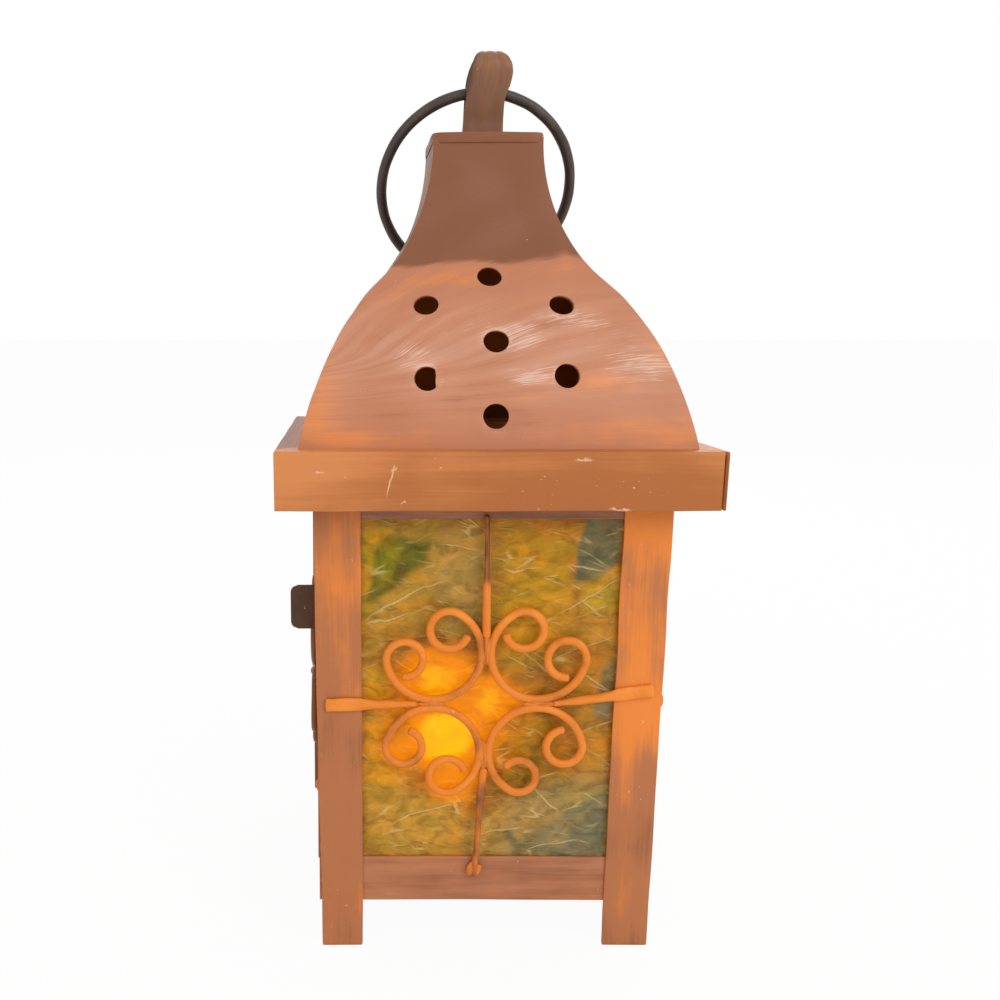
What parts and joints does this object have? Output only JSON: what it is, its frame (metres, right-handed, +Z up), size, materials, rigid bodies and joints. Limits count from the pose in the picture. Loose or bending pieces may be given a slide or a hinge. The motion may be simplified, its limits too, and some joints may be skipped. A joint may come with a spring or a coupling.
{
  "type": "candle lantern",
  "caption": "Square tin lantern with coloured glass, wire scroll grilles, a hinged door, a punched ogee roof, a folded eye with a swinging ring, and a loose candle in its cup.",
  "frame": {"origin": "on the ground under the middle of the square eave", "axes": "+Z up, the front with its scroll grille faces -Y, and the door is on the -X side"},
  "size_m": [0.143, 0.143, 0.313],
  "materials": {
    "copper_paint": "brushed on by hand, satin",
    "wire_paint": "brushed on by hand, satin",
    "brown_paint": "worn, satin",
    "dark_wire": "dull",
    "inner_tin": "dull with soot",
    "pin_steel": "dull",
    "amber_glass": "rolled, streaky",
    "wax": "smooth wax",
    "wick": "charred"
  },
  "bodies": {
    "lantern": {"bottom_rail_back": "copper_paint", "bottom_rail_front": "copper_paint", "bottom_rail_left": "copper_paint", "bottom_rail_right": "copper_paint", "candle_cup": "inner_tin", "eave_band": "copper_paint", "floor_pan": "inner_tin", "glass_back": "amber_glass", "glass_front": "amber_glass", "glass_right": "amber_glass", "grille_arms_back": "wire_paint", "grille_arms_front": "wire_paint", "grille_arms_right": "wire_paint", "hanger_strap": "brown_paint", "hinge_pins": "pin_steel", "post_back_left": "copper_paint", "post_back_right": "copper_paint", "post_front_left": "copper_paint", "post_front_right": "copper_paint", "post_hinge_leaves": "copper_paint", "roof_cap": "copper_paint", "roof_panel_back": "copper_paint", "roof_panel_front": "copper_paint", "roof_panel_left": "copper_paint", "roof_panel_right": "copper_paint", "scroll_back_lower_left": "wire_paint", "scroll_back_lower_right": "wire_paint", "scroll_back_upper_left": "wire_paint", "scroll_back_upper_right": "wire_paint", "scroll_front_lower_left": "wire_paint", "scroll_front_lower_right": "wire_paint", "scroll_front_upper_left": "wire_paint", "scroll_front_upper_right": "wire_paint", "scroll_right_lower_left": "wire_paint", "scroll_right_lower_right": "wire_paint", "scroll_right_upper_left": "wire_paint", "scroll_right_upper_right": "wire_paint", "top_rail_back": "copper_paint", "top_rail_front": "copper_paint", "top_rail_left": "copper_paint", "top_rail_right": "copper_paint"},
    "door": {"door_finger_tab": "brown_paint", "door_glass": "amber_glass", "door_glass_clips": "copper_paint", "door_hinge_leaves": "copper_paint", "door_rail_bottom": "copper_paint", "door_rail_top": "copper_paint", "door_stile_hinge": "copper_paint", "door_stile_latch": "copper_paint", "grille_arms_door": "wire_paint", "scroll_door_lower_left": "wire_paint", "scroll_door_lower_right": "wire_paint", "scroll_door_upper_left": "wire_paint", "scroll_door_upper_right": "wire_paint"},
    "ring": {"hanging_ring": "dark_wire"},
    "candle": {"candle": "wax", "wick": "wick"}
  },
  "joints": [
    {"name": "door_swing", "type": "hinge", "parent": "lantern", "child": "door", "pos_m": [-0.0614, 0.04265, 0.0922], "axis": [0, 0, -1], "range_deg": [0, 105]},
    {"name": "ring_swing", "type": "hinge", "parent": "lantern", "child": "ring", "pos_m": [0, 0, 0.29935], "axis": [1, 0, 0], "range_deg": [0, 299.8]},
    {"name": "candle_lift", "type": "slide", "parent": "lantern", "child": "candle", "axis": [0, 0, 1], "range_m": [0, 0.03]}
  ]
}
